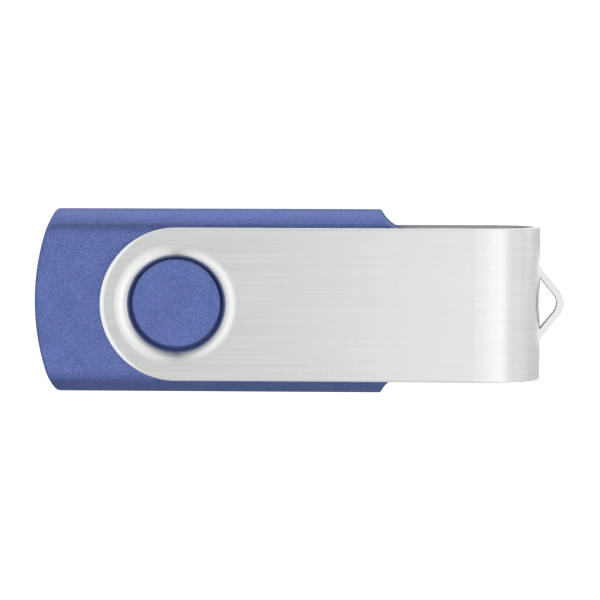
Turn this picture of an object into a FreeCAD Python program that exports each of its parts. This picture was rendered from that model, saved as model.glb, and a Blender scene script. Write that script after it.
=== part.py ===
"""Swivel-cover USB flash drive, closed, lying flat.

A two-piece moulded housing holds a circuit board with a USB-A plug on its front edge. A U-shaped cover of one folded
aluminium sheet straps round the housing and the plug. Each leaf of the cover has a dished hole that sits in a ring-shaped
groove round a moulded boss, so the cover swivels all the way round. A strap lanced out of the cover's bend is the
lanyard loop.

Millimetres. +X runs from the housing's rear to the loop, +Z is up, the origin is under the middle of the object, on the
surface it lies on.
"""
import FreeCAD, Part
import math
import os

V = FreeCAD.Vector
os.makedirs("parts", exist_ok=True)

# ---------------------------------------------------------------- driving dimensions
THICK = 10.0            # over the cover's two leaves
ZM = THICK / 2          # height of the middle plane, where the two housing halves meet

# cover
T = 0.75                # sheet thickness
COVER_HALF = 8.06       # half the leaf's width, and the radius of its round end
COVER_X = -0.066        # the cover sits this far off the bosses' centre, within its play
COVER_Y = -0.165
PIVOT_X = -12.82        # centre of the bosses
EASE_X = 18.456         # where each leaf starts to ease into the bend
EASE_R = 22.0           # outer radius of that first, shallow stretch
EASE_ANGLE = math.radians(7.0)
BEND_R = (THICK / 2 - EASE_R * (1 - math.cos(EASE_ANGLE))) / math.cos(EASE_ANGLE)      # outer radius of the bend itself
BEND_X = EASE_X + (EASE_R - BEND_R) * math.sin(EASE_ANGLE)                             # and its centre
HOLE_R = 4.80           # hole in each leaf, at the lip of the dish
DISH_EASE_R = 3.6       # outer radius of the dish's first, shallow stretch
DISH_EASE_ANGLE = math.radians(14.0)
DISH_BEND_R = 1.2       # outer radius of its steeper roll down to the lip
DISH_ANGLE = math.radians(68.0)
DISH_R = HOLE_R + DISH_EASE_R * math.sin(DISH_EASE_ANGLE) + DISH_BEND_R * (math.sin(DISH_ANGLE) - math.sin(DISH_EASE_ANGLE))
SHEET_EDGE_R = 0.25     # rolled edge left by the press

# lanyard strap, lanced out of the bend
LOOP_TIP_X = 27.966
STRAP_Z = 4.4           # height of the strap's middle
STRAP_HALF_Z = 0.8
SLIT_HALF_Z = 0.85
SLIT_HALF_Y = 4.3
LOOP_SLOPE = 0.815      # outward travel of an arm for each mm towards the middle

# housing
REAR_X = -27.9
REAR_R = 24.7           # radius of the housing's bowed rear end
BODY_HALF = 9.73
NOSE_X = 11.5           # front face, round the plug
SHOULDER_R = 3.09       # hollow curve of each shoulder, in plan
SHOULDER_Y = 10.65      # its centre is level with the front face, this far out
NOSE_CORNER_R = 0.5     # upright corners of the front face
GAP = 0.1               # running clearance between the cover's sheet and the housing
SEAT_EASE = 0.2         # extra clearance outside the dish, for the cover's play
Z_HI = THICK - T - GAP  # housing's upper flat
Z_LO = T + GAP
FLAT_HALF = 7.0         # half the width of the flats
EDGE_R1 = 1.8           # small radius, next to the flat
BOSS_R = 4.61
BOSS_TOP = 9.9
GROOVE_FLOOR = 8.35
GROOVE_R = 1.1          # hollow curve of the groove's outer wall
WALL = 0.95

# inside of the housing
CAV_HALF = 7.0
CAV_FRONT = 4.5
PLATE_R = 7.6           # thickened wall behind the boss and groove
PLATE_Z = 7.2

# USB-A plug
PLUG_TIP = 23.34
PLUG_REAR = 8.0
PLUG_HALF_Y = 6.0
PLUG_HALF_Z = 2.25
SHELL_T = 0.3
PLUG_Z0 = ZM - PLUG_HALF_Z

# circuit board
PCB_Z0 = 3.3
PCB_Z1 = 4.3
PCB_HALF = 6.8
PCB_REAR = -24.7
PCB_SHOULDER = 4.35
PCB_FRONT = 7.9


def save(shape, name):
    shape.exportStep("parts/%s.step" % name)
    b = shape.optimalBoundingBox()
    print("%-24s solids %2d  valid %s  volume %9.3f  box %s" % (
        name, len(shape.Solids), shape.isValid(), shape.Volume,
        [round(v, 3) for v in (b.XMin, b.XMax, b.YMin, b.YMax, b.ZMin, b.ZMax)]))


def box(x0, x1, y0, y1, z0, z1):
    return Part.makeBox(x1 - x0, y1 - y0, z1 - z0, V(x0, y0, z0))


def cyl(r, x, y, z0, z1):
    return Part.makeCylinder(r, z1 - z0, V(x, y, z0), V(0, 0, 1))


def mirror_z(shape):
    """The same shape on the other side of the middle plane."""
    return shape.mirror(V(0, 0, ZM), V(0, 0, 1))


def one_solid(shape):
    """The single solid in a boolean's result."""
    s = max(shape.Solids, key=lambda x: x.Volume)
    return s


def face_of(edges):
    return Part.Face(Part.Wire(Part.__sortEdges__(edges)))


def poly_face(points):
    return Part.Face(Part.makePolygon(points + [points[0]]))


def rounded_path(points, radii):
    """Edges of an open or closed path with its inner corners rounded. points are (x, y); radii match the points."""
    n = len(points)
    pts = [V(p[0], p[1], 0) for p in points]
    cuts = []
    for i in range(n):
        if radii[i] <= 0 or i in (0, n - 1):
            cuts.append((pts[i], None, pts[i]))
            continue
        a = (pts[i - 1] - pts[i]).normalize()
        b = (pts[i + 1] - pts[i]).normalize()
        half = math.acos(max(-1.0, min(1.0, a.dot(b)))) / 2
        d = radii[i] / math.tan(half)
        bis = (a + b).normalize()
        centre = pts[i] + bis * (radii[i] / math.sin(half))
        cuts.append((pts[i] + a * d, centre - bis * radii[i], pts[i] + b * d))
    edges = []
    for i in range(n):
        start, mid, end = cuts[i]
        if mid is not None:
            edges.append(Part.Arc(start, mid, end).toShape())
        if i < n - 1 and (cuts[i + 1][0] - end).Length > 1e-7:
            edges.append(Part.LineSegment(end, cuts[i + 1][0]).toShape())
    return edges


def fillet(shape, radius, edges, label):
    """The shape with those edges rounded. Says so if the rounding could not be made."""
    if not edges:
        print("   fillet %s: no edges" % label)
        return shape
    for r in (radius, radius * 0.8, radius * 0.6):
        try:
            made = shape.makeFillet(r, edges)
            if made.isValid() and made.Solids and made.Volume > 0:
                if r != radius:
                    print("   fillet %s made at %.3f" % (label, r))
                return one_solid(made)
        except Exception as e:
            reason = e
    print("   fillet %s FAILED: %s" % (label, reason if "reason" in dir() else ""))
    return shape


# ---------------------------------------------------------------- swivel cover
def make_cover():
    x_left = PIVOT_X - COVER_HALF
    zi0, zi1 = T, THICK - T
    # side profile: a U of constant thickness, open to the rear
    p = lambda x, z: V(x, -COVER_HALF, z)

    def skin(depth):
        """Points of one side of the sheet, from the upper leaf to the lower, at a depth below the outer face."""
        r, rb = EASE_R - depth, BEND_R - depth
        def ease(ang):
            return p(EASE_X + r * math.sin(ang), THICK - EASE_R + r * math.cos(ang))
        up = [p(x_left, THICK - depth), p(EASE_X, THICK - depth), ease(EASE_ANGLE / 2), ease(EASE_ANGLE)]
        low = [V(q.x, q.y, THICK - q.z) for q in reversed(up)]
        return up, p(BEND_X + rb, ZM), low

    edges = []
    for depth in (0, T):
        up, tip, low = skin(depth)
        edges += [Part.LineSegment(up[0], up[1]).toShape(), Part.Arc(up[1], up[2], up[3]).toShape(),
                  Part.Arc(up[3], tip, low[0]).toShape(), Part.Arc(low[0], low[1], low[2]).toShape(),
                  Part.LineSegment(low[2], low[3]).toShape()]
    edges += [Part.LineSegment(p(x_left, THICK), p(x_left, zi1)).toShape(),
              Part.LineSegment(p(x_left, 0), p(x_left, zi0)).toShape()]
    u = face_of(edges).extrude(V(0, 2 * COVER_HALF, 0))
    # round ends, centred on the swivel axis
    keep = box(PIVOT_X, BEND_X + BEND_R + 1, -COVER_HALF, COVER_HALF, -1, THICK + 1).fuse(
        cyl(COVER_HALF, PIVOT_X, 0, -1, THICK + 1))
    u = one_solid(u.common(keep).removeSplitter())
    # rolled outer edges
    outer = []
    for e in u.Edges:
        m = e.valueAt((e.FirstParameter + e.LastParameter) / 2)
        ends = [v.Point for v in e.Vertexes]
        on_flat = all(abs(q.z - z) < 1e-4 for q in ends + [m] for z in [THICK if m.z > ZM else 0.0])
        on_side = abs(abs(m.y) - COVER_HALF) < 1e-4
        eased = min(abs(math.hypot(m.x - EASE_X, m.z - c) - EASE_R) for c in (THICK - EASE_R, EASE_R))
        on_bend = on_side and m.x > EASE_X and min(abs(math.hypot(m.x - BEND_X, m.z - ZM) - BEND_R), eased) < 1e-4
        across = abs(m.y) < 1e-3 and e.Length > 15.9 and m.x > PIVOT_X
        if (on_flat or on_bend) and not across:
            outer.append(e)
    u = fillet(u, SHEET_EDGE_R, outer, "cover outer edges")

    # dished holes
    def dish_pt(depth, ang):
        """A point of the dish's section where the sheet slopes by ang, at a depth below its outer face."""
        if ang <= DISH_EASE_ANGLE:
            r, cx, cz = DISH_EASE_R, DISH_R, THICK - DISH_EASE_R
        else:
            k = DISH_EASE_R - DISH_BEND_R
            r, cx, cz = DISH_BEND_R, DISH_R - k * math.sin(DISH_EASE_ANGLE), THICK - DISH_EASE_R + k * math.cos(DISH_EASE_ANGLE)
        return V(cx - (r - depth) * math.sin(ang), 0, cz + (r - depth) * math.cos(ang))

    a0, a1 = DISH_EASE_ANGLE, DISH_ANGLE
    am = (a0 + a1) / 2
    lip_o, lip_i = dish_pt(0, a1), dish_pt(T, a1)
    ring = face_of([
        Part.LineSegment(V(DISH_R, 0, THICK - T), V(DISH_R, 0, THICK)).toShape(),
        Part.Arc(V(DISH_R, 0, THICK), dish_pt(0, a0 / 2), dish_pt(0, a0)).toShape(),
        Part.Arc(dish_pt(0, a0), dish_pt(0, am), lip_o).toShape(),
        Part.LineSegment(lip_o, lip_i).toShape(),
        Part.Arc(lip_i, dish_pt(T, am), dish_pt(T, a0)).toShape(),
        Part.Arc(dish_pt(T, a0), dish_pt(T, a0 / 2), V(DISH_R, 0, THICK - T)).toShape(),
    ]).revolve(V(0, 0, 0), V(0, 0, 1), 360)
    ring = Part.Solid(ring) if ring.ShapeType != "Solid" else ring
    lip_edges = [e for e in ring.Edges if e.Closed and
                 min(abs(e.Curve.Radius - lip_o.x), abs(e.Curve.Radius - lip_i.x)) < 1e-4]
    ring = fillet(ring, 0.12, lip_edges, "dish lip")
    ring.translate(V(PIVOT_X, 0, 0))
    hole = cyl(DISH_R, PIVOT_X, 0, THICK - T - 0.2, THICK + 0.2)
    u = u.cut(hole).cut(mirror_z(hole))
    u = one_solid(u)
    u = u.fuse(ring).fuse(mirror_z(ring)).removeSplitter()
    u = one_solid(u)

    # window that the strap was pushed out of
    x_skin = BEND_X + BEND_R
    win = box(BEND_X + 2.5, x_skin + 1, -SLIT_HALF_Y, SLIT_HALF_Y, STRAP_Z - SLIT_HALF_Z, STRAP_Z + SLIT_HALF_Z)
    win_edges = [e for e in win.Edges if abs(e.Vertexes[0].X - e.Vertexes[1].X) > 1]
    win = win.makeFillet(0.25, win_edges)
    u = one_solid(u.cut(win))

    # strap: middle line of the sheet, as a V with rounded corners
    apex = LOOP_TIP_X + 1.85 * (1 / math.sin(math.atan2(1, LOOP_SLOPE)) - 1)   # where the outer faces of the arms would meet
    nx = math.cos(math.atan(LOOP_SLOPE))
    apex_mid = apex - (T / 2) / nx
    x_mid = x_skin - T / 2
    y_root = (apex_mid - x_mid) / LOOP_SLOPE

    def v_path(off):
        """The V, moved outwards by off."""
        ax = apex_mid + off / nx
        xs = x_mid + off
        yr = (ax - xs) / LOOP_SLOPE
        pts = [(xs, -SLIT_HALF_Y - 0.35), (xs, -yr), (ax, 0), (xs, yr), (xs, SLIT_HALF_Y + 0.35)]
        radii = [0, 1.3 - off, 1.85 if off > 0 else 1.45, 1.3 - off, 0]      # a little thicker at the apex
        return pts, radii

    po, ro = v_path(T / 2)
    pi, ri = v_path(-T / 2)
    eo, ei = rounded_path(po, ro), rounded_path(pi, ri)
    ends = [
        Part.LineSegment(V(po[0][0], po[0][1], 0), V(pi[0][0], pi[0][1], 0)).toShape(),
        Part.LineSegment(V(po[-1][0], po[-1][1], 0), V(pi[-1][0], pi[-1][1], 0)).toShape(),
    ]
    strap = face_of(eo + ei + ends).extrude(V(0, 0, 2 * STRAP_HALF_Z))
    strap.translate(V(0, 0, STRAP_Z - STRAP_HALF_Z))
    long_edges = [e for e in strap.Edges
                  if abs(e.Vertexes[0].Z - e.Vertexes[-1].Z) < 1e-6 and
                  not (abs(abs(e.CenterOfMass.y) - SLIT_HALF_Y - 0.35) < 1e-3)]
    strap = fillet(strap, 0.14, long_edges, "strap edges")
    # the roots stay inside the bent sheet
    root_zone = box(BEND_X, x_skin + 2, -SLIT_HALF_Y - 1, -SLIT_HALF_Y, 0, THICK).fuse(
        box(BEND_X, x_skin + 2, SLIT_HALF_Y, SLIT_HALF_Y + 1, 0, THICK))
    ring_out = Part.makeCylinder(BEND_R, 40, V(BEND_X, -20, ZM), V(0, 1, 0))
    strap = strap.cut(root_zone.cut(ring_out))
    strap = one_solid(strap)
    u = one_solid(u.fuse(strap).removeSplitter())
    u.translate(V(COVER_X, COVER_Y, 0))
    print("cover: bend radius %.3f about x %.3f, tip x %.3f" % (BEND_R, BEND_X, BEND_X + BEND_R + COVER_X))
    print("cover: loop apex %.3f, arms leave the bend at y %.3f" % (apex, y_root))
    return u


# ---------------------------------------------------------------- housing
def side_profile():
    """Cross-section of the housing in the YZ plane, at x = 0: flat top and bottom, sides of two tangent radii."""
    h = Z_HI - ZM
    w = BODY_HALF - FLAT_HALF
    r1 = EDGE_R1
    r2 = (w * w + h * h - 2 * h * r1) / (2 * (w - r1))
    c1 = (FLAT_HALF, Z_HI - r1)
    c2 = (BODY_HALF - r2, ZM)
    d = math.hypot(c1[0] - c2[0], c1[1] - c2[1])
    ux, uz = (c1[0] - c2[0]) / d, (c1[1] - c2[1]) / d
    t = (c2[0] + r2 * ux, c2[1] + r2 * uz)
    a1 = (math.pi / 2 + math.atan2(uz, ux)) / 2
    m1 = (c1[0] + r1 * math.cos(a1), c1[1] + r1 * math.sin(a1))
    up = lambda y, z: V(0, y, z)
    dn = lambda y, z: V(0, y, THICK - z)
    edges = [Part.LineSegment(up(-FLAT_HALF, Z_HI), up(FLAT_HALF, Z_HI)).toShape(),
             Part.LineSegment(dn(-FLAT_HALF, Z_HI), dn(FLAT_HALF, Z_HI)).toShape()]
    for s in (1, -1):
        edges.append(Part.Arc(up(s * FLAT_HALF, Z_HI), up(s * m1[0], m1[1]), up(s * t[0], t[1])).toShape())
        edges.append(Part.Arc(up(s * t[0], t[1]), up(s * BODY_HALF, ZM), dn(s * t[0], t[1])).toShape())
        edges.append(Part.Arc(dn(s * FLAT_HALF, Z_HI), dn(s * m1[0], m1[1]), dn(s * t[0], t[1])).toShape())
    print("housing side radii %.2f and %.2f, tangent at y %.2f z %.2f" % (r1, r2, t[0], t[1]))
    return face_of(edges)


def shoulder_tangent():
    """Where the shoulder's hollow curve runs into the front face's rounded corner, and that corner's centre."""
    xc = NOSE_X - NOSE_CORNER_R
    reach = SHOULDER_R + NOSE_CORNER_R
    yc = SHOULDER_Y - math.sqrt(reach ** 2 - (NOSE_X - xc) ** 2)
    k = SHOULDER_R / reach
    return (NOSE_X + (xc - NOSE_X) * k, SHOULDER_Y + (yc - SHOULDER_Y) * k), (xc, yc)


def front_outline(inset=0.0):
    """Edges of the front of the plan outline, from the +Y shoulder round to the -Y one, moved inwards by inset."""
    (tx, ty), (xc, yc) = shoulder_tangent()
    r, c = SHOULDER_R + inset, NOSE_CORNER_R - inset
    ux, uy = (tx - xc) / NOSE_CORNER_R, (ty - yc) / NOSE_CORNER_R
    t = (xc + ux * c, yc + uy * c)
    x0 = NOSE_X - r
    a0, a1 = math.pi, math.atan2(t[1] - SHOULDER_Y, t[0] - NOSE_X) % (2 * math.pi)
    am = (a0 + a1) / 2
    mid = (NOSE_X + r * math.cos(am), SHOULDER_Y + r * math.sin(am))
    h = math.atan2(uy, ux) / 2
    cm = (xc + c * math.cos(h), yc + c * math.sin(h))
    xf = xc + c
    out = []
    for s in (1, -1):
        out.append(Part.Arc(V(x0, s * SHOULDER_Y, 0), V(mid[0], s * mid[1], 0), V(t[0], s * t[1], 0)).toShape())
        out.append(Part.Arc(V(t[0], s * t[1], 0), V(cm[0], s * cm[1], 0), V(xf, s * yc, 0)).toShape())
    out.append(Part.LineSegment(V(xf, yc, 0), V(xf, -yc, 0)).toShape())
    return out, x0


def make_envelope():
    """Outside of the housing as one solid, before it is hollowed and split."""
    bar = side_profile().extrude(V(60, 0, 0))
    bar.translate(V(-30, 0, 0))
    cx = REAR_X + REAR_R
    xr = cx - math.sqrt(REAR_R ** 2 - 12.0 ** 2)
    front, x0 = front_outline()
    plan = face_of([
        Part.Arc(V(xr, 12, 0), V(REAR_X, 0, 0), V(xr, -12, 0)).toShape(),
        Part.LineSegment(V(xr, -12, 0), V(x0, -12, 0)).toShape(),
        Part.LineSegment(V(x0, -12, 0), V(x0, -SHOULDER_Y, 0)).toShape(),
        Part.LineSegment(V(x0, SHOULDER_Y, 0), V(x0, 12, 0)).toShape(),
        Part.LineSegment(V(x0, 12, 0), V(xr, 12, 0)).toShape(),
    ] + front).extrude(V(0, 0, THICK))
    main = one_solid(bar.common(plan))

    def samples(e):
        return [e.valueAt(e.FirstParameter + k * (e.LastParameter - e.FirstParameter)) for k in (0.02, 0.35, 0.65, 0.98)]

    (tx, ty), (xc, yc) = shoulder_tangent()

    def on_front(q):
        y = abs(q.y)
        if y <= yc + 1e-4:
            return abs(q.x - NOSE_X) < 1e-4
        if q.x > tx:
            return abs(math.hypot(q.x - xc, y - yc) - NOSE_CORNER_R) < 1e-3
        return abs(math.hypot(q.x - NOSE_X, y - SHOULDER_Y) - SHOULDER_R) < 1e-3

    def upright(e):
        a, b = e.Vertexes[0].Point, e.Vertexes[-1].Point
        return math.hypot(a.x - b.x, a.y - b.y) < 1e-4 and e.Length < THICK + 1 and abs(a.z - b.z) > 1 and \
            abs(samples(e)[1].y - a.y) < 1e-4

    rear = [e for e in main.Edges if all(abs(math.hypot(q.x - cx, q.y) - REAR_R) < 1e-3 and q.x < -20 for q in samples(e))]
    main = fillet(main, 0.45, rear, "rear edge loop")
    front = [e for e in main.Edges if all(on_front(q) for q in samples(e)) and not upright(e)]
    return fillet(main, 0.3, front, "front edge loop")


def cavity_outline(grow):
    """Plan outline of the hollow inside, grown outwards by grow."""
    cx = REAR_X + REAR_R
    r = REAR_R - 1.4 + grow
    h = CAV_HALF + grow
    xr = cx - math.sqrt(r * r - h * h)
    f = CAV_FRONT + grow
    return face_of([
        Part.Arc(V(xr, h, 0), V(cx - r, 0, 0), V(xr, -h, 0)).toShape(),
        Part.LineSegment(V(xr, -h, 0), V(f, -h, 0)).toShape(),
        Part.LineSegment(V(f, -h, 0), V(f, h, 0)).toShape(),
        Part.LineSegment(V(f, h, 0), V(xr, h, 0)).toShape(),
    ])


def prism(face, z0, z1):
    s = face.extrude(V(0, 0, z1 - z0))
    s.translate(V(0, 0, z0))
    return s


def make_housing():
    env = make_envelope()
    z_ceil, z_floor = Z_HI - WALL, Z_LO + WALL

    # groove round the boss, which the cover's dish runs in
    r_seat = GROOVE_R
    zc = Z_HI - r_seat
    seat = DISH_R + SEAT_EASE
    dz = GROOVE_FLOOR - zc
    foot = seat - math.sqrt(r_seat ** 2 - dz ** 2)
    ang = (math.asin((seat - foot) / r_seat)) / 2
    groove = face_of([
        Part.LineSegment(V(BOSS_R, 0, GROOVE_FLOOR), V(foot, 0, GROOVE_FLOOR)).toShape(),
        Part.Arc(V(foot, 0, GROOVE_FLOOR), V(seat - r_seat * math.sin(ang), 0, zc + r_seat * math.cos(ang)),
                 V(seat, 0, Z_HI)).toShape(),
        Part.LineSegment(V(seat, 0, Z_HI), V(seat, 0, Z_HI + 1)).toShape(),
        Part.LineSegment(V(seat, 0, Z_HI + 1), V(BOSS_R, 0, Z_HI + 1)).toShape(),
        Part.LineSegment(V(BOSS_R, 0, Z_HI + 1), V(BOSS_R, 0, GROOVE_FLOOR)).toShape(),
    ]).revolve(V(0, 0, 0), V(0, 0, 1), 360)
    groove = Part.Solid(groove) if groove.ShapeType != "Solid" else groove
    groove.translate(V(PIVOT_X, 0, 0))

    # hollow of the housing: full height between the plates behind the bosses
    cav = prism(cavity_outline(0), z_floor, z_ceil)
    plate = cyl(PLATE_R, PIVOT_X, 0, PLATE_Z, THICK)
    cav = cav.cut(plate).cut(mirror_z(plate))
    # ledges that the board rests on
    ledge = box(-30, 10, 6.1, 9, 0, PCB_Z0).fuse(box(-30, 10, -9, -6.1, 0, PCB_Z0))
    cav = cav.cut(ledge)
    throat = box(CAV_FRONT - 0.1, PLUG_REAR - 0.05, -6.1, 6.1, z_floor + 0.5, z_ceil - 0.5)
    mouth = box(PLUG_REAR - 0.1, NOSE_X + 1, -PLUG_HALF_Y - 0.05, PLUG_HALF_Y + 0.05,
                PLUG_Z0 - 0.05, PLUG_Z0 + 2 * PLUG_HALF_Z + 0.05)
    m_edges = [e for e in mouth.Edges if abs(e.Vertexes[0].X - e.Vertexes[1].X) > 1]
    mouth = mouth.makeFillet(0.62, m_edges)
    hollow = cav.fuse(throat).fuse(mouth)
    core = cyl(3.3, PIVOT_X, 0, PLATE_Z - 0.1, 8.9)      # keeps the boss's wall even
    hollow = hollow.fuse(core).fuse(mirror_z(core))

    boss = cyl(BOSS_R, PIVOT_X, 0, GROOVE_FLOOR - 0.2, BOSS_TOP)
    top_edge = [e for e in boss.Edges if e.Closed and abs(e.CenterOfMass.z - BOSS_TOP) < 1e-6]
    boss = boss.makeFillet(0.15, top_edge)
    body = env.cut(groove).cut(mirror_z(groove))
    body = body.fuse(boss).fuse(mirror_z(boss))
    body = one_solid(body.removeSplitter())
    body = one_solid(body.cut(hollow))

    # shadow line where the halves meet, round the rear, sides and shoulders
    d = 0.12
    cx = REAR_X + REAR_R
    h = BODY_HALF - d
    xr = cx - math.sqrt((REAR_R - d) ** 2 - h * h)
    r = SHOULDER_R + d
    x_sh = NOSE_X - math.sqrt(r ** 2 - (SHOULDER_Y - h) ** 2)
    (tx, ty), (xc, yc) = shoulder_tangent()
    a0 = math.atan2(h - SHOULDER_Y, x_sh - NOSE_X) % (2 * math.pi)
    a1 = math.atan2(ty - SHOULDER_Y, tx - NOSE_X) % (2 * math.pi) - 0.12      # fades out before the front corner
    am = (a0 + a1) / 2
    pt = lambda ang: (NOSE_X + r * math.cos(ang), SHOULDER_Y + r * math.sin(ang))
    e1, em = pt(a1), pt(am)
    y_end = e1[1]
    inner = prism(face_of([
        Part.Arc(V(xr, h, 0), V(cx - REAR_R + d, 0, 0), V(xr, -h, 0)).toShape(),
        Part.LineSegment(V(xr, -h, 0), V(x_sh, -h, 0)).toShape(),
        Part.Arc(V(x_sh, -h, 0), V(em[0], -em[1], 0), V(e1[0], -e1[1], 0)).toShape(),
        Part.LineSegment(V(e1[0], -e1[1], 0), V(e1[0], -e1[1] - 1, 0)).toShape(),
        Part.LineSegment(V(e1[0], -e1[1] - 1, 0), V(20, -e1[1] - 1, 0)).toShape(),
        Part.LineSegment(V(20, -e1[1] - 1, 0), V(20, e1[1] + 1, 0)).toShape(),
        Part.LineSegment(V(20, e1[1] + 1, 0), V(e1[0], e1[1] + 1, 0)).toShape(),
        Part.LineSegment(V(e1[0], e1[1] + 1, 0), V(e1[0], e1[1], 0)).toShape(),
        Part.Arc(V(e1[0], e1[1], 0), V(em[0], em[1], 0), V(x_sh, h, 0)).toShape(),
        Part.LineSegment(V(x_sh, h, 0), V(xr, h, 0)).toShape(),
    ]), ZM - 0.1, ZM + 0.1)
    inner = inner.makeFillet(0.35, [e for e in inner.Edges if e.CenterOfMass.x < xr + 0.01 and
                                    abs(e.Vertexes[0].Z - e.Vertexes[-1].Z) > 0.1])
    reveal = box(-40, 40, -20, 20, ZM - 0.07, ZM + 0.07).cut(inner)
    body = one_solid(body.cut(reveal))

    half_hi = box(-40, 40, -20, 20, ZM, 20)
    half_lo = box(-40, 40, -20, 20, -10, ZM)
    hi, lo = one_solid(body.common(half_hi)), one_solid(body.common(half_lo))

    # lip of the upper half, inside a rebate of the lower half
    def rim(z0, z1, a, b, cut_front):
        s = prism(cavity_outline(b), z0, z1).cut(prism(cavity_outline(a), z0 - 0.1, z1 + 0.1))
        return s.cut(box(cut_front, 20, -20, 20, 0, THICK))
    rebate = rim(ZM - 0.9, ZM + 0.01, -0.01, 0.60, CAV_FRONT - 0.4)
    lip = rim(ZM - 0.8, ZM + 0.1, 0.04, 0.52, CAV_FRONT - 0.5)
    lo = one_solid(lo.cut(rebate))
    hi = one_solid(hi.fuse(lip).removeSplitter())

    # pegs and sockets
    for x in (-20.5, 6.0):
        for y in (-8.35, 8.35):
            hi = hi.fuse(cyl(0.5, x, y, ZM - 1.5, ZM + 0.3))
            lo = lo.cut(cyl(0.55, x, y, ZM - 1.7, ZM + 0.1))
    # posts that hold the board down, on the upper half
    for x in (-23.4, 1.4):
        for y in (-6.62, 6.62):
            ya, yb = sorted((y - math.copysign(0.36, y), math.copysign(7.3, y)))
            hi = hi.fuse(box(x, x + 1.4, ya, yb, PCB_Z1 + 0.05, z_ceil + 0.2))
    # pins through the board's rear holes, on the lower half, with the shoulders it rests on
    for y in (-4.4, 4.4):
        lo = lo.fuse(cyl(1.1, -22.6, y, z_floor - 0.2, PCB_Z0))
        lo = lo.fuse(cyl(0.55, -22.6, y, PCB_Z0 - 0.1, PCB_Z1 + 0.5))
    return one_solid(hi.removeSplitter()), one_solid(lo.removeSplitter())


# ---------------------------------------------------------------- plug
def make_plug():
    z0, z1 = PLUG_Z0, PLUG_Z0 + 2 * PLUG_HALF_Z
    outer = box(PLUG_REAR, PLUG_TIP, -PLUG_HALF_Y, PLUG_HALF_Y, z0, z1)
    outer = outer.makeFillet(0.6, [e for e in outer.Edges if abs(e.Vertexes[0].X - e.Vertexes[1].X) > 1])
    front = [e for e in outer.Edges if abs(e.CenterOfMass.x - PLUG_TIP) < 1e-6]
    outer = fillet(outer, 0.14, front, "plug front edge")
    t = SHELL_T
    inner = box(PLUG_REAR - 1, PLUG_TIP + 1, -PLUG_HALF_Y + t, PLUG_HALF_Y - t, z0 + t, z1 - t)
    inner = inner.makeFillet(0.32, [e for e in inner.Edges if abs(e.Vertexes[0].X - e.Vertexes[1].X) > 1])
    shell = one_solid(outer.cut(inner))
    # lead-in on the inside of the mouth
    lead = [e for e in shell.Edges if abs(e.CenterOfMass.x - PLUG_TIP) < 1e-6 and abs(e.CenterOfMass.z - ZM) < 3]
    # latch windows, two in each broad face
    for y in (-2.9, 2.9):
        w = box(PLUG_TIP - 7.2, PLUG_TIP - 5.16, y - 1.2, y + 1.2, z0 - 1, z1 + 1)
        w = w.makeFillet(0.2, [e for e in w.Edges if abs(e.Vertexes[0].Z - e.Vertexes[1].Z) > 1])
        shell = shell.cut(w)
    # dovetailed seam of the folded sheet, along the underside
    s = 0.03
    path = [(PLUG_REAR - 1, 0), (11.6, 0), (11.3, 0.75), (12.9, 0.75), (12.6, 0), (19.0, 0), (18.7, -0.75), (20.3, -0.75),
            (20.0, 0), (PLUG_TIP + 1, 0)]
    for (xa, ya), (xb, yb) in zip(path, path[1:]):
        d = V(xb - xa, yb - ya, 0)
        n = V(-d.y, d.x, 0).normalize() * s
        e = V(d.x, d.y, 0).normalize() * s
        a, b = V(xa, ya, z0 - 0.2) - e, V(xb, yb, z0 - 0.2) + e
        shell = shell.cut(poly_face([a + n, b + n, b - n, a - n]).extrude(V(0, 0, 0.2 + t + 0.1)))
    # solder legs from the side walls, alongside the board's front tongue
    for sy in (-1, 1):
        ya, yb = sorted((sy * (PLUG_HALF_Y - t), sy * PLUG_HALF_Y))
        shell = shell.fuse(box(4.75, PLUG_REAR + 0.2, ya, yb, 3.9, 5.3))
        shell = shell.fuse(box(4.75, 6.15, ya, yb, 2.85, 3.95))
    shell = one_solid(shell.removeSplitter())

    # insulator: block at the rear, tongue with four contact channels
    zt = z0 + 1.95
    zf = zt - 0.2
    block = box(PLUG_REAR, 12.4, -PLUG_HALF_Y + t, PLUG_HALF_Y - t, z0 + t, z1 - t)
    block = block.makeFillet(0.32, [e for e in block.Edges if abs(e.Vertexes[0].X - e.Vertexes[1].X) > 1])
    tongue = box(12.2, PLUG_TIP - 0.45, -5.35, 5.35, z0 + t, zt)
    tongue = tongue.makeFillet(0.25, [e for e in tongue.Edges if abs(e.CenterOfMass.x - (PLUG_TIP - 0.45)) < 1e-6])
    ins = one_solid(block.fuse(tongue).removeSplitter())
    contacts = {}
    layout = (("contact_vbus", 3.5, 21.5), ("contact_data_minus", 1.0, 20.5),
              ("contact_data_plus", -1.0, 20.5), ("contact_ground", -3.5, 21.5))
    for name, y, xf in layout:
        ins = ins.cut(box(PLUG_REAR - 1, xf + 0.05, y - 0.52, y + 0.52, zf, zf + 0.27))
        ins = ins.cut(box(12.4, xf + 0.05, y - 0.52, y + 0.52, zf, zt + 1))
        # flat strip, then a gull-wing tail down to the board
        zb, th = PCB_Z1, 0.25
        prof = poly_face([V(xf, y - 0.5, zf), V(xf, y - 0.5, zf + th - 0.07), V(xf - 0.25, y - 0.5, zf + th),
                          V(7.70, y - 0.5, zf + th), V(7.30, y - 0.5, zb + th), V(5.7, y - 0.5, zb + th),
                          V(5.7, y - 0.5, zb), V(7.18, y - 0.5, zb), V(7.58, y - 0.5, zf)])
        contacts[name] = prof.extrude(V(0, 1.0, 0))
    ins = one_solid(ins.removeSplitter())
    return shell, ins, contacts


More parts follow.
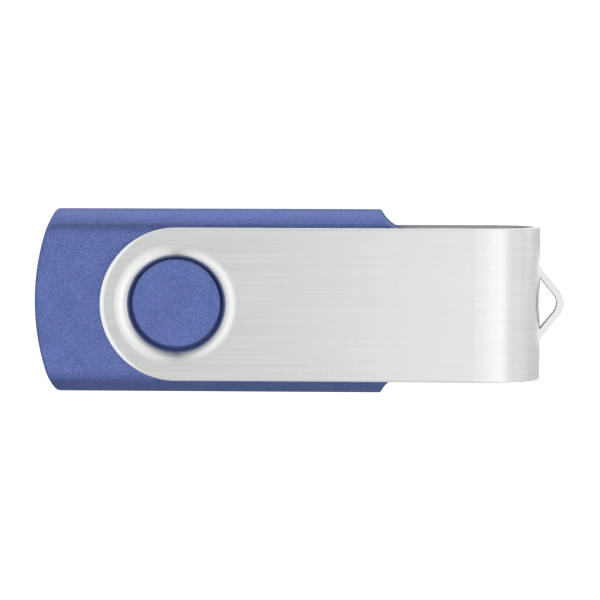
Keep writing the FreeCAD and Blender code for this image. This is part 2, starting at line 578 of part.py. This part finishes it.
# ---------------------------------------------------------------- board and its components
def make_board():
    c = 1.6
    pcb = prism(poly_face([V(PCB_REAR, -PCB_HALF + c, 0), V(PCB_REAR + c, -PCB_HALF, 0), V(PCB_SHOULDER, -PCB_HALF, 0),
                           V(PCB_SHOULDER, -5.6, 0), V(PCB_FRONT, -5.6, 0), V(PCB_FRONT, 5.6, 0),
                           V(PCB_SHOULDER, 5.6, 0), V(PCB_SHOULDER, PCB_HALF, 0), V(PCB_REAR + c, PCB_HALF, 0),
                           V(PCB_REAR, PCB_HALF - c, 0)]), PCB_Z0, PCB_Z1)
    for y in (-4.4, 4.4):
        pcb = pcb.cut(cyl(0.6, -22.6, y, 0, THICK))
    return one_solid(pcb)


def gull(x_body, x_foot, z_mid, z_board, width, th, up):
    """One gull-wing lead leaving a package in +X, centred on y = 0. up is 1 on top of the board, -1 underneath."""
    s = up
    xk = x_body + (x_foot - x_body) * 0.35
    xt = x_body + (x_foot - x_body) * 0.5
    pts = [(x_body, z_mid + s * th / 2), (xk, z_mid + s * th / 2), (xt, z_board + s * th), (x_foot, z_board + s * th),
           (x_foot, z_board), (xt - th * 0.7, z_board), (xk - th * 0.5, z_mid - s * th / 2), (x_body, z_mid - s * th / 2)]
    return poly_face([V(x, -width / 2, z) for x, z in pts]).extrude(V(0, width, 0))


def package(x, y, lx, ly, z0, z1, mark):
    """Moulded chip package with drafted sides and a pin-one dimple on its outer face."""
    d = 0.12
    zm = (z0 + z1) / 2
    def slab(za, zb, da, db):
        a = Part.makePolygon([V(x - lx / 2 + da, y - ly / 2 + da, za), V(x + lx / 2 - da, y - ly / 2 + da, za),
                              V(x + lx / 2 - da, y + ly / 2 - da, za), V(x - lx / 2 + da, y + ly / 2 - da, za),
                              V(x - lx / 2 + da, y - ly / 2 + da, za)])
        b = Part.makePolygon([V(x - lx / 2 + db, y - ly / 2 + db, zb), V(x + lx / 2 - db, y - ly / 2 + db, zb),
                              V(x + lx / 2 - db, y + ly / 2 - db, zb), V(x - lx / 2 + db, y + ly / 2 - db, zb),
                              V(x - lx / 2 + db, y - ly / 2 + db, zb)])
        return Part.makeLoft([a, b], True, True)
    s = slab(z0, zm, d, 0).fuse(slab(zm, z1, 0, d)).removeSplitter()
    mx, my, mr, face = mark
    s = s.cut(cyl(mr, mx, my, face - 0.06, face + 0.06))
    return one_solid(s)


def make_components():
    out = {}
    zt, zb = PCB_Z1, PCB_Z0
    # flash memory, thin small-outline package, on top
    mx, lx, ly = -11.0, 18.4, 12.0
    out["memory_chip"] = package(mx, 0, lx, ly, zt + 0.1, zt + 1.1, (mx - 8.2, -5.0, 0.5, zt + 1.1))
    leads = []
    for i in range(24):
        y = (i - 11.5) * 0.5
        g = gull(mx + lx / 2, mx + lx / 2 + 0.8, zt + 0.6, zt, 0.22, 0.13, 1)
        g.translate(V(0, y, 0))
        leads.append(g)
        leads.append(g.mirror(V(mx, 0, 0), V(1, 0, 0)))
    out["memory_chip_leads"] = Part.makeCompound(leads)
    # controller, quad flat package, underneath
    cx, cl = -0.3, 7.0
    out["controller_chip"] = package(cx, 0, cl, cl, zb - 1.1, zb - 0.1, (cx - 2.6, 2.6, 0.4, zb - 1.1))
    leads = []
    for k in range(4):
        for i in range(12):
            g = gull(cl / 2, cl / 2 + 0.95, zb - 0.6, zb, 0.22, 0.13, -1)
            g.translate(V(0, (i - 5.5) * 0.5, 0))
            g.rotate(V(0, 0, 0), V(0, 0, 1), 90 * k)
            g.translate(V(cx, 0, 0))
            leads.append(g)
    out["controller_chip_leads"] = Part.makeCompound(leads)
    # quartz crystal: ceramic tray and metal lid
    qx, qy = 2.0, 3.3
    base = box(qx - 1.6, qx + 1.6, qy - 2.5, qy + 2.5, zt, zt + 0.55)
    base = base.makeFillet(0.3, [e for e in base.Edges if abs(e.Vertexes[0].Z - e.Vertexes[1].Z) > 0.3])
    lid = box(qx - 1.35, qx + 1.35, qy - 2.25, qy + 2.25, zt + 0.55, zt + 0.95)
    lid = lid.makeFillet(0.3, [e for e in lid.Edges if abs(e.Vertexes[0].Z - e.Vertexes[1].Z) > 0.3])
    lid = fillet(lid, 0.12, [e for e in lid.Edges if abs(e.CenterOfMass.z - (zt + 0.95)) < 1e-6], "crystal lid")
    out["crystal_base"], out["crystal_lid"] = base, lid

    # chip capacitors and resistors, each a body with two metal end caps
    def chip(x, y, z, along_y, h, up):
        L, W, e = 1.6, 0.8, 0.3
        zc = sorted((z, z + up * h))
        body = box(-L / 2 + e, L / 2 - e, -W / 2 + 0.02, W / 2 - 0.02, zc[0] + 0.02, zc[1] - 0.02)
        caps = [box(-L / 2, -L / 2 + e, -W / 2, W / 2, *zc), box(L / 2 - e, L / 2, -W / 2, W / 2, *zc)]
        for s in [body] + caps:
            if along_y:
                s.rotate(V(0, 0, 0), V(0, 0, 1), 90)
            s.translate(V(x, y, 0))
        return body, caps
    cb, cc, rb, rc = [], [], [], []
    for x, y, z, ay, up in ((0.5, -1.6, zt, True, 1), (1.9, -1.6, zt, True, 1), (3.3, -1.6, zt, True, 1),
                            (3.3, -4.2, zt, True, 1), (-22.3, 2.2, zt, True, 1), (5.6, -3.0, zb, True, -1)):
        b, c = chip(x, y, z, ay, 0.8, up)
        cb.append(b)
        cc += c
    for x, y, z, ay, up in ((0.5, -4.2, zt, True, 1), (1.9, -4.2, zt, True, 1), (-22.3, -2.2, zt, True, 1),
                            (5.6, 3.0, zb, True, -1)):
        b, c = chip(x, y, z, ay, 0.45, up)
        rb.append(b)
        rc += c
    out["capacitor_bodies"], out["capacitor_end_caps"] = Part.makeCompound(cb), Part.makeCompound(cc)
    out["resistor_bodies"], out["resistor_end_caps"] = Part.makeCompound(rb), Part.makeCompound(rc)
    # status light: small board with a clear lens
    lx0, ly0 = -23.7, 0.0
    led = box(lx0 - 0.4, lx0 + 0.4, ly0 - 0.8, ly0 + 0.8, zt, zt + 0.25)
    lens = box(lx0 - 0.4, lx0 + 0.4, ly0 - 0.5, ly0 + 0.5, zt + 0.25, zt + 0.7)
    lens = fillet(lens, 0.12, [e for e in lens.Edges if abs(e.CenterOfMass.z - (zt + 0.7)) < 1e-6], "lens")
    out["status_led_base"], out["status_led_lens"] = led, lens

    # solder: a wedge on each side of every contact tail, and a fillet inside each shell leg
    sol = []
    for y in (3.5, 1.0, -1.0, -3.5):
        for s in (-1, 1):
            pts = [V(5.75, y + s * 0.5, zt), V(5.75, y + s * 0.78, zt), V(5.75, y + s * 0.5, zt + 0.2)]
            sol.append(poly_face(pts).extrude(V(1.35, 0, 0)))
    for s in (-1, 1):
        pts = [V(4.95, s * 5.7, zt), V(4.95, s * 5.1, zt), V(4.95, s * 5.7, zt + 0.55)]
        w = poly_face(pts).extrude(V(2.2, 0, 0))
        sol.append(w)
    out["solder_joints"] = Part.makeCompound(sol)
    return out


def main():
    save(make_cover(), "swivel_cover")
    hi, lo = make_housing()
    save(hi, "upper_housing")
    save(lo, "lower_housing")
    shell, ins, contacts = make_plug()
    save(shell, "plug_shell")
    save(ins, "plug_insulator")
    for name, c in contacts.items():
        save(c, name)
    save(make_board(), "circuit_board")
    for name, s in make_components().items():
        save(s, name)


main()
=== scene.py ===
"""Looks for the swivel USB flash drive: materials, soft studio light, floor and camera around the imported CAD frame."""
import math

import bpy
from mathutils import Matrix, Vector

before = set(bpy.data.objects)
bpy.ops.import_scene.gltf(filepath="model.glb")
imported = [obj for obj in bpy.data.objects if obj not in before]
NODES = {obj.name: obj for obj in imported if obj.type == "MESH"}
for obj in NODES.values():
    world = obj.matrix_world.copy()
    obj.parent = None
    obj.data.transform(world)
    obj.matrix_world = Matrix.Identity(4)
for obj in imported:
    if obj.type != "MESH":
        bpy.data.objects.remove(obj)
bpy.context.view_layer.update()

scene = bpy.context.scene
scene.view_settings.view_transform = "Standard"
scene.view_settings.look = "None"
scene.view_settings.exposure = 0.0
scene.view_settings.gamma = 1.0


# ------------------------------------------------------------------ node helpers
class Mat:
    """A material's node tree, with short ways to add nodes. Coordinates are the object's own, in metres."""

    def __init__(self, name):
        self.m = bpy.data.materials.new(name)
        self.m.use_nodes = True
        self.t = self.m.node_tree
        self.t.nodes.clear()
        self.out = self.t.nodes.new("ShaderNodeOutputMaterial")
        self.b = self.t.nodes.new("ShaderNodeBsdfPrincipled")
        self.t.links.new(self.b.outputs["BSDF"], self.out.inputs["Surface"])
        self._co = None

    def node(self, kind, **props):
        n = self.t.nodes.new(kind)
        for k, v in props.items():
            setattr(n, k, v)
        return n

    def link(self, a, b):
        self.t.links.new(a, b)

    def co(self):
        if self._co is None:
            self._co = self.node("ShaderNodeTexCoord").outputs["Object"]
        return self._co

    def mapped(self, scale, rot=(0, 0, 0), loc=(0, 0, 0)):
        n = self.node("ShaderNodeMapping")
        n.inputs["Scale"].default_value = scale
        n.inputs["Rotation"].default_value = rot
        n.inputs["Location"].default_value = loc
        self.link(self.co(), n.inputs["Vector"])
        return n.outputs["Vector"]

    def noise(self, vec, scale=1.0, detail=2.0, rough=0.5, distortion=0.0):
        n = self.node("ShaderNodeTexNoise")
        self.link(vec, n.inputs["Vector"])
        n.inputs["Scale"].default_value = scale
        n.inputs["Detail"].default_value = detail
        n.inputs["Roughness"].default_value = rough
        n.inputs["Distortion"].default_value = distortion
        return n.outputs["Fac"]

    def voronoi(self, vec, scale=1.0, feature="F1", output="Distance", randomness=1.0):
        n = self.node("ShaderNodeTexVoronoi", feature=feature)
        self.link(vec, n.inputs["Vector"])
        n.inputs["Scale"].default_value = scale
        n.inputs["Randomness"].default_value = randomness
        return n.outputs[output]

    def remap(self, value, a, b, lo, hi, smooth=False):
        n = self.node("ShaderNodeMapRange", clamp=True)
        if smooth:
            n.interpolation_type = "SMOOTHSTEP"
        self.link(value, n.inputs["Value"])
        for k, v in (("From Min", a), ("From Max", b), ("To Min", lo), ("To Max", hi)):
            n.inputs[k].default_value = v
        return n.outputs["Result"]

    def ramp(self, value, stops):
        n = self.node("ShaderNodeValToRGB")
        e = n.color_ramp.elements
        while len(e) < len(stops):
            e.new(0.5)
        for el, (p, c) in zip(e, stops):
            el.position = p
            el.color = (*c, 1) if len(c) == 3 else c
        self.link(value, n.inputs["Fac"])
        return n.outputs["Color"]

    def mix(self, fac, a, b, blend="MIX"):
        n = self.node("ShaderNodeMix", data_type="RGBA", blend_type=blend)
        for sock, v in ((n.inputs["Factor"], fac), (n.inputs["A"], a), (n.inputs["B"], b)):
            sock = sock if sock.enabled else None
        ins = [i for i in n.inputs if i.enabled]
        for sock, v in zip(ins, (fac, a, b)):
            if isinstance(v, (int, float)):
                sock.default_value = v
            elif isinstance(v, (tuple, list)):
                sock.default_value = (*v, 1) if len(v) == 3 else v
            else:
                self.link(v, sock)
        return [o for o in n.outputs if o.enabled][0]

    def math(self, op, a, b=None, c=None, clamp=False):
        n = self.node("ShaderNodeMath", operation=op, use_clamp=clamp)
        for i, v in enumerate((a, b, c)):
            if v is None:
                continue
            if isinstance(v, (int, float)):
                n.inputs[i].default_value = v
            else:
                self.link(v, n.inputs[i])
        return n.outputs[0]

    def bump(self, height, distance, strength=1.0, normal=None):
        n = self.node("ShaderNodeBump")
        n.inputs["Distance"].default_value = distance
        n.inputs["Strength"].default_value = strength
        self.link(height, n.inputs["Height"])
        if normal is not None:
            self.link(normal, n.inputs["Normal"])
        return n.outputs["Normal"]

    def set(self, **kw):
        for k, v in kw.items():
            s = self.b.inputs[k.replace("_", " ").title().replace("Ior", "IOR")]
            if isinstance(v, (int, float)):
                s.default_value = v
            elif isinstance(v, (tuple, list)):
                s.default_value = (*v, 1) if len(v) == 3 and s.type == "RGBA" else v
            else:
                self.link(v, s)
        return self


# ------------------------------------------------------------------ materials
def brushed_aluminium():
    m = Mat("brushed_aluminium")
    # the brushing follows the sheet: long along X and round the bend, fine across its width
    fine = m.noise(m.mapped((90, 3900, 90)), 1.0, 1.5, 0.5)
    mid = m.noise(m.mapped((60, 2200, 60), loc=(3.1, 7.7, 1.3)), 1.0, 2.0, 0.5)
    groove = m.noise(m.mapped((25, 3600, 25), loc=(5.2, 1.1, 0.6)), 1.0, 0.0, 0.5)
    cloud = m.noise(m.mapped((90, 140, 90), loc=(1.7, 0.4, 2.2)), 1.0, 2.0, 0.5)
    lines = m.math("MULTIPLY_ADD", fine, 0.5, m.math("MULTIPLY", mid, 0.5))
    grit = m.noise(m.mapped((1, 1, 1), loc=(0.3, 0.9, 4.1)), 1900, 2.0, 0.5)
    tone = m.math("MULTIPLY_ADD", cloud, 0.16, m.math("MULTIPLY_ADD", grit, 0.16, m.math("MULTIPLY", lines, 0.68)))
    col = m.ramp(tone, [(0.30, (0.826, 0.838, 0.836)), (0.5, (0.876, 0.886, 0.882)), (0.70, (0.926, 0.934, 0.928))])
    # the sheet's inner face is left as rolled: duller, without the brushing
    pos = m.node("ShaderNodeSeparateXYZ")
    m.link(m.co(), pos.inputs[0])
    geo = m.node("ShaderNodeNewGeometry")
    to_ob = m.node("ShaderNodeVectorTransform", vector_type="NORMAL", convert_from="WORLD", convert_to="OBJECT")
    m.link(geo.outputs["Normal"], to_ob.inputs["Vector"])
    nrm = m.node("ShaderNodeSeparateXYZ")
    m.link(to_ob.outputs["Vector"], nrm.inputs[0])
    up = m.math("MULTIPLY", nrm.outputs["Z"], m.math("SUBTRACT", pos.outputs["Z"], 0.005))
    out = m.math("MULTIPLY", nrm.outputs["X"], m.math("MAXIMUM", m.math("SUBTRACT", pos.outputs["X"], 0.0205), 0.0))
    inner = m.remap(m.math("ADD", up, out), -0.0012, -0.0004, 1.0, 0.0, smooth=True)
    mill = m.noise(m.mapped((1, 1, 1)), 2600, 3.0, 0.6)
    dull = m.ramp(mill, [(0.3, (0.74, 0.745, 0.74)), (0.7, (0.82, 0.825, 0.82))])
    rough = m.math("MULTIPLY_ADD", inner, 0.26, m.remap(lines, 0.3, 0.7, 0.26, 0.32))
    # painted highlight tint: the colour warms a touch towards the bend, where the highlight falls
    warm_highlight_tint = m.mix(m.remap(pos.outputs["X"], 0.0030, 0.0200, 0.0, 1.0, smooth=True), (1.0, 1.0, 1.0), (1.008, 1.0, 0.984))
    col = m.mix(1.0, col, warm_highlight_tint, "MULTIPLY")
    m.set(base_color=m.mix(inner, col, dull), metallic=1.0, roughness=rough, anisotropic=0.7)
    # the sheet's cut edge is crisper than a full round, and it rolls off gently round the leaf's rear end
    dx = m.math("MINIMUM", m.math("SUBTRACT", pos.outputs["X"], -0.012886), 0.0)
    dy = m.math("SUBTRACT", pos.outputs["Y"], -0.000165)
    reach = m.math("SQRT", m.math("MULTIPLY_ADD", dx, dx, m.math("MULTIPLY", dy, dy)))
    u = m.remap(reach, 0.00781, 0.00799, 0.0, 0.72)
    crisp = m.math("MULTIPLY", m.math("LOGARITHM", m.math("SUBTRACT", 1.0, m.math("MULTIPLY", u, u)), math.e), -0.5 * 0.00025)
    v = m.remap(reach, 0.00748, 0.00800, 0.0, 1.0)
    rear = m.remap(pos.outputs["X"], -0.012886 - 0.0064, -0.012886 - 0.0026, 1.0, 0.0, smooth=True)
    roll = m.math("MULTIPLY", m.math("MULTIPLY", v, v), m.math("MULTIPLY", rear, -0.000060))
    edge = m.bump(m.math("MULTIPLY", m.math("ADD", crisp, roll), m.math("SUBTRACT", 1.0, inner)), 1.0)
    m.link(m.bump(groove, 0.0000006, normal=edge), m.b.inputs["Normal"])
    # the highlight spreads across the brushing, so the tangent is the sheet's width
    t = m.node("ShaderNodeVectorTransform", vector_type="VECTOR", convert_from="OBJECT", convert_to="WORLD")
    t.inputs["Vector"].default_value = (0, 1, 0)
    m.link(t.outputs["Vector"], m.b.inputs["Tangent"])
    return m.m


def satin_blue():
    m = Mat("satin_blue")
    grain = m.noise(m.mapped((1, 1, 1)), 4300, 3.0, 0.6)
    fleck = m.voronoi(m.mapped((1, 1, 1)), 7600, output="Color")
    fleck_v = m.node("ShaderNodeSeparateColor")
    m.link(fleck, fleck_v.inputs[0])
    v = m.math("MULTIPLY_ADD", fleck_v.outputs[0], 0.4, m.math("MULTIPLY", grain, 0.6))
    soft = m.noise(m.mapped((1, 1, 1)), 420, 2.0, 0.5)
    v = m.math("MULTIPLY_ADD", soft, 0.18, m.math("MULTIPLY", v, 0.82))
    col = m.ramp(v, [(0.25, (0.098, 0.146, 0.400)), (0.5, (0.141, 0.200, 0.506)), (0.75, (0.194, 0.262, 0.615))])
    rough = m.remap(grain, 0.3, 0.7, 0.42, 0.52)
    m.set(base_color=col, metallic=0.65, roughness=rough)
    m.b.inputs["Specular IOR Level"].default_value = 0.4
    m.link(m.bump(v, 0.000006), m.b.inputs["Normal"])
    return m.m


def plain(name, c_lo, c_hi, scale, metallic=0.0, rough=(0.4, 0.5), bump=0.000002, detail=3.0, aniso=None):
    """A surface with fine mottling of colour and roughness."""
    m = Mat(name)
    sc = (1, 1, 1) if aniso is None else aniso
    n = m.noise(m.mapped(sc), scale, detail, 0.55)
    m.set(base_color=m.ramp(n, [(0.3, c_lo), (0.7, c_hi)]), metallic=metallic, roughness=m.remap(n, 0.3, 0.7, *rough))
    m.link(m.bump(n, bump), m.b.inputs["Normal"])
    return m


def circuit():
    """Green solder mask over copper tracks."""
    m = Mat("solder_mask")
    cell = m.voronoi(m.mapped((1, 1, 1)), 520, feature="DISTANCE_TO_EDGE", randomness=0.85)
    track = m.remap(cell, 0.03, 0.07, 1.0, 0.0, smooth=True)
    n = m.noise(m.mapped((1, 1, 1)), 2500, 3.0, 0.5)
    base = m.ramp(n, [(0.3, (0.010, 0.105, 0.048)), (0.7, (0.016, 0.135, 0.062))])
    m.set(base_color=m.mix(track, base, (0.030, 0.200, 0.085)), roughness=m.remap(n, 0.3, 0.7, 0.22, 0.34))
    m.link(m.bump(track, 0.00002), m.b.inputs["Normal"])
    return m.m


def lens():
    m = Mat("clear_epoxy")
    n = m.noise(m.mapped((1, 1, 1)), 3000, 2.0, 0.5)
    m.set(base_color=m.ramp(n, [(0.3, (0.86, 0.92, 0.98)), (0.7, (0.93, 0.97, 1.0))]), roughness=m.remap(n, 0.3, 0.7, 0.05, 0.12))
    m.b.inputs["Transmission Weight"].default_value = 0.7
    m.b.inputs["IOR"].default_value = 1.52
    m.link(m.bump(n, 0.000001), m.b.inputs["Normal"])
    return m.m


ALU = brushed_aluminium()
BLUE = satin_blue()
NICKEL = plain("nickel_plate", (0.60, 0.585, 0.55), (0.70, 0.685, 0.65), 1800, 1.0, (0.16, 0.26), 0.000002, aniso=(0.25, 1, 1)).m
BLACK = plain("black_moulding", (0.012, 0.012, 0.013), (0.022, 0.022, 0.024), 5200, 0.0, (0.42, 0.55), 0.000008).m
GOLD = plain("gold_flash", (0.80, 0.56, 0.22), (0.90, 0.66, 0.30), 2600, 1.0, (0.18, 0.28), 0.000001, aniso=(0.15, 1, 1)).m
CHIP = plain("moulded_epoxy", (0.014, 0.014, 0.015), (0.030, 0.030, 0.032), 6800, 0.0, (0.55, 0.70), 0.00001).m
TIN = plain("bright_tin", (0.62, 0.63, 0.65), (0.74, 0.75, 0.76), 4200, 1.0, (0.24, 0.40), 0.000004).m
TRAY = plain("fired_ceramic", (0.40, 0.37, 0.31), (0.50, 0.47, 0.41), 4800, 0.0, (0.45, 0.60), 0.000006).m
LID = plain("welded_lid", (0.60, 0.58, 0.53), (0.72, 0.70, 0.65), 3000, 1.0, (0.24, 0.36), 0.000003, aniso=(1, 0.1, 1)).m
CAP = plain("capacitor_ceramic", (0.28, 0.19, 0.12), (0.38, 0.27, 0.18), 5200, 0.0, (0.40, 0.55), 0.000004).m
RES = plain("resistor_glaze", (0.012, 0.012, 0.016), (0.030, 0.030, 0.040), 3800, 0.0, (0.15, 0.28), 0.000002).m
LED = plain("led_moulding", (0.72, 0.71, 0.66), (0.84, 0.83, 0.79), 5200, 0.0, (0.40, 0.52), 0.000004).m
PCB = circuit()
LENS = lens()

LOOK = {
    "swivel_cover": ALU, "upper_housing": BLUE, "lower_housing": BLUE, "plug_shell": NICKEL, "plug_insulator": BLACK,
    "contact_vbus": GOLD, "contact_data_minus": GOLD, "contact_data_plus": GOLD, "contact_ground": GOLD,
    "circuit_board": PCB, "memory_chip": CHIP, "memory_chip_leads": TIN, "controller_chip": CHIP,
    "controller_chip_leads": TIN, "crystal_base": TRAY, "crystal_lid": LID, "capacitor_bodies": CAP,
    "capacitor_end_caps": TIN, "resistor_bodies": RES, "resistor_end_caps": TIN, "status_led_base": LED,
    "status_led_lens": LENS, "solder_joints": TIN,
}
for name, ob in NODES.items():
    ob.data.materials.clear()
    ob.data.materials.append(LOOK[name])

# ------------------------------------------------------------------ floor
bpy.ops.mesh.primitive_plane_add(size=3.0, location=(0, 0, -0.00002))
floor = bpy.context.object
floor.name = "floor"
fm = Mat("pale_floor_painted_shade_glow")
fn = fm.noise(fm.mapped((1, 1, 1)), 30, 2.0, 0.5)
f_sep = fm.node("ShaderNodeSeparateXYZ")
fm.link(fm.co(), f_sep.inputs[0])
f_y_painted_shade = fm.remap(f_sep.outputs["Y"], -0.014, 0.014, 0.34, 0.86, smooth=True)      # painted shade: the floor's colour falls off towards -Y, away from the light
# painted shade: the floor's colour is also dark short of the bend's end and bright past it, at +X
f_x_painted_shade = fm.remap(f_sep.outputs["X"], 0.018, 0.031, 0.34, 0.86, smooth=True)
f_painted_shade = fm.math("MAXIMUM", f_x_painted_shade, f_y_painted_shade)
# painted shade: the floor is darker close to the housing's rear end and along its +Y side, a painted contact shadow
f_rear_shade = fm.math("MULTIPLY", fm.remap(f_sep.outputs["X"], -0.0305, -0.0272, 0.8, 0.0, smooth=True),
                 fm.remap(f_sep.outputs["X"], -0.0400, -0.0340, 0.0, 1.0, smooth=True))
f_flank_shade = fm.math("MULTIPLY", fm.remap(f_sep.outputs["Y"], 0.0112, 0.0124, 0.8, 0.0, smooth=True),
                  fm.math("MULTIPLY", fm.remap(f_sep.outputs["Y"], 0.0086, 0.0096, 0.0, 1.0, smooth=True),
                          fm.remap(f_sep.outputs["X"], 0.0100, 0.0125, 1.0, 0.0, smooth=True)))
f_painted_shade = fm.math("MULTIPLY", f_painted_shade, fm.math("SUBTRACT", 1.0, fm.math("MAXIMUM", f_rear_shade, f_flank_shade)))
f_v = fm.math("ADD", f_painted_shade, fm.remap(fn, 0.3, 0.7, -0.01, 0.01))
f_c = fm.node("ShaderNodeCombineColor")
for i in range(3):
    fm.link(f_v, f_c.inputs[i])
fm.set(base_color=f_c.outputs[0], roughness=0.9)
fm.b.inputs["Emission Color"].default_value = (1, 1, 1, 1)
fl = fm.node("ShaderNodeLightPath")
f_side_glow = fm.remap(f_sep.outputs["Y"], 0.0125, 0.0175, 0.0, 0.60, smooth=True)      # painted light: the floor glows along the +Y side
f_loop = fm.remap(fm.math("ABSOLUTE", f_sep.outputs["Y"]), 0.0036, 0.0058, 0.46, 0.04, smooth=True)
f_end_glow = fm.math("MULTIPLY", fm.remap(f_sep.outputs["X"], 0.0235, 0.0255, 0.0, 1.0, smooth=True),
                fm.math("MULTIPLY", fm.remap(f_sep.outputs["X"], 0.0280, 0.0330, 1.0, 0.15, smooth=True), f_loop))      # painted light: and glows under the loop
f_nose_glow = fm.math("MULTIPLY", fm.remap(f_sep.outputs["X"], 0.0125, 0.0145, 0.0, 1.0, smooth=True),
                 fm.remap(f_sep.outputs["Y"], 0.0083, 0.0100, 0.0, 0.50, smooth=True))      # painted light: and glows beside the plug
f_glow = fm.math("MAXIMUM", fm.math("MAXIMUM", f_side_glow, f_nose_glow), f_end_glow)
# camera rays see the floor evenly white; other rays see only its painted glow
fm.link(fm.math("MAXIMUM", fm.math("MULTIPLY", fl.outputs["Is Camera Ray"], 1.0), f_glow), fm.b.inputs["Emission Strength"])
floor.data.materials.append(fm.m)

# ------------------------------------------------------------------ light: a soft surround with broad lobes, as large diffusers give
world = bpy.data.worlds.new("studio")
scene.world = world
world.use_nodes = True
wt = world.node_tree
wt.nodes.clear()
w_out = wt.nodes.new("ShaderNodeOutputWorld")
w_bg = wt.nodes.new("ShaderNodeBackground")
wt.links.new(w_bg.outputs[0], w_out.inputs["Surface"])
w_co = wt.nodes.new("ShaderNodeTexCoord")
w_sep = wt.nodes.new("ShaderNodeSeparateXYZ")
wt.links.new(w_co.outputs["Generated"], w_sep.inputs[0])


PEAK = 1.3


def profile(socket, stops):
    """Brightness by one component of the direction, from -1 to 1, through (component, brightness) stops."""
    mr = wt.nodes.new("ShaderNodeMapRange")
    mr.inputs["From Min"].default_value, mr.inputs["From Max"].default_value = -1.0, 1.0
    wt.links.new(socket, mr.inputs["Value"])
    cr = wt.nodes.new("ShaderNodeValToRGB")
    cr.color_ramp.interpolation = "CARDINAL"
    e = cr.color_ramp.elements
    while len(e) < len(stops):
        e.new(0.5)
    for el, (p, v) in zip(e, stops):
        el.position = (p + 1) / 2
        el.color = (v / PEAK, v / PEAK, v / PEAK, 1)      # a ramp holds 0 to 1
    wt.links.new(mr.outputs["Result"], cr.inputs["Fac"])
    return cr.outputs["Color"]


ALONG = [(-1.0, 0.50), (-0.87, 0.74), (-0.57, 0.99), (-0.34, 1.17), (-0.22, 1.12), (-0.13, 0.48), (-0.06, 0.54), (-0.015, 1.16),
         (0.02, 1.18), (0.06, 0.94), (0.12, 1.02), (0.18, 1.18), (0.26, 1.29), (0.37, 1.18), (0.53, 1.01), (0.73, 0.91),
         (0.89, 0.92), (1.0, 0.80)]
ACROSS = [(-1.0, 0.35), (-0.94, 0.50), (-0.85, 0.78), (-0.64, 0.92), (0.0, 1.0), (0.34, 0.82), (0.56, 0.52), (0.69, 0.40),
          (0.81, 0.32), (0.91, 0.26), (1.0, 0.25)]
fa = profile(w_sep.outputs["X"], ALONG)
ga = profile(w_sep.outputs["Y"], ACROSS)
mul = wt.nodes.new("ShaderNodeMix")
mul.data_type, mul.blend_type = "RGBA", "MULTIPLY"
ins = [i for i in mul.inputs if i.enabled]
ins[0].default_value = 1.0      # both profiles are divided by PEAK, and the strength gives it back
wt.links.new(fa, ins[1])
wt.links.new(ga, ins[2])


def wmath(op, a, b, clamp=False):
    n = wt.nodes.new("ShaderNodeMath")
    n.operation, n.use_clamp = op, clamp
    for i, v in enumerate((a, b)):
        if isinstance(v, (int, float)):
            n.inputs[i].default_value = v
        else:
            wt.links.new(v, n.inputs[i])
    return n.outputs[0]


# the two corners on the -Y side are a little darker than the profiles alone make them
low = wmath("MULTIPLY", wmath("ABSOLUTE", w_sep.outputs["X"], 0.0), wmath("MULTIPLY", w_sep.outputs["Y"], -1.0, clamp=True))
corner = wmath("SUBTRACT", 1.0, wmath("MULTIPLY", low, 0.7))
shade = wt.nodes.new("ShaderNodeMix")
shade.data_type, shade.blend_type = "RGBA", "MULTIPLY"
ins = [i for i in shade.inputs if i.enabled]
ins[0].default_value = 1.0
wt.links.new([o for o in mul.outputs if o.enabled][0], ins[1])
wt.links.new(corner, ins[2])
lp = wt.nodes.new("ShaderNodeLightPath")
pick = wt.nodes.new("ShaderNodeMix")
pick.data_type = "RGBA"
ins = [i for i in pick.inputs if i.enabled]
wt.links.new(lp.outputs["Is Camera Ray"], ins[0])
wt.links.new([o for o in shade.outputs if o.enabled][0], ins[1])
ins[2].default_value = (0.98 / PEAK ** 2, 0.98 / PEAK ** 2, 0.98 / PEAK ** 2, 1)
wt.links.new([o for o in pick.outputs if o.enabled][0], w_bg.inputs["Color"])
w_bg.inputs["Strength"].default_value = PEAK ** 2

# ------------------------------------------------------------------ camera: nearly straight down, a little from the +X and +Y sides
cam_data = bpy.data.cameras.new("camera")
cam = bpy.data.objects.new("camera", cam_data)
scene.collection.objects.link(cam)
scene.camera = cam
ax, ay, roll = math.radians(-3.783), math.radians(2.832), math.radians(0.087)
rot = Matrix.Rotation(ay, 3, "Y") @ Matrix.Rotation(ax, 3, "X") @ Matrix.Rotation(roll, 3, "Z")
cam.matrix_world = Matrix.Translation((0.016494, 0.022212, 0.339764)) @ rot.to_4x4()
cam_data.sensor_width = 36.0
cam_data.lens = 3162.745 * 36.0 / 600.0
cam_data.clip_start = 0.01
cam_data.clip_end = 10.0
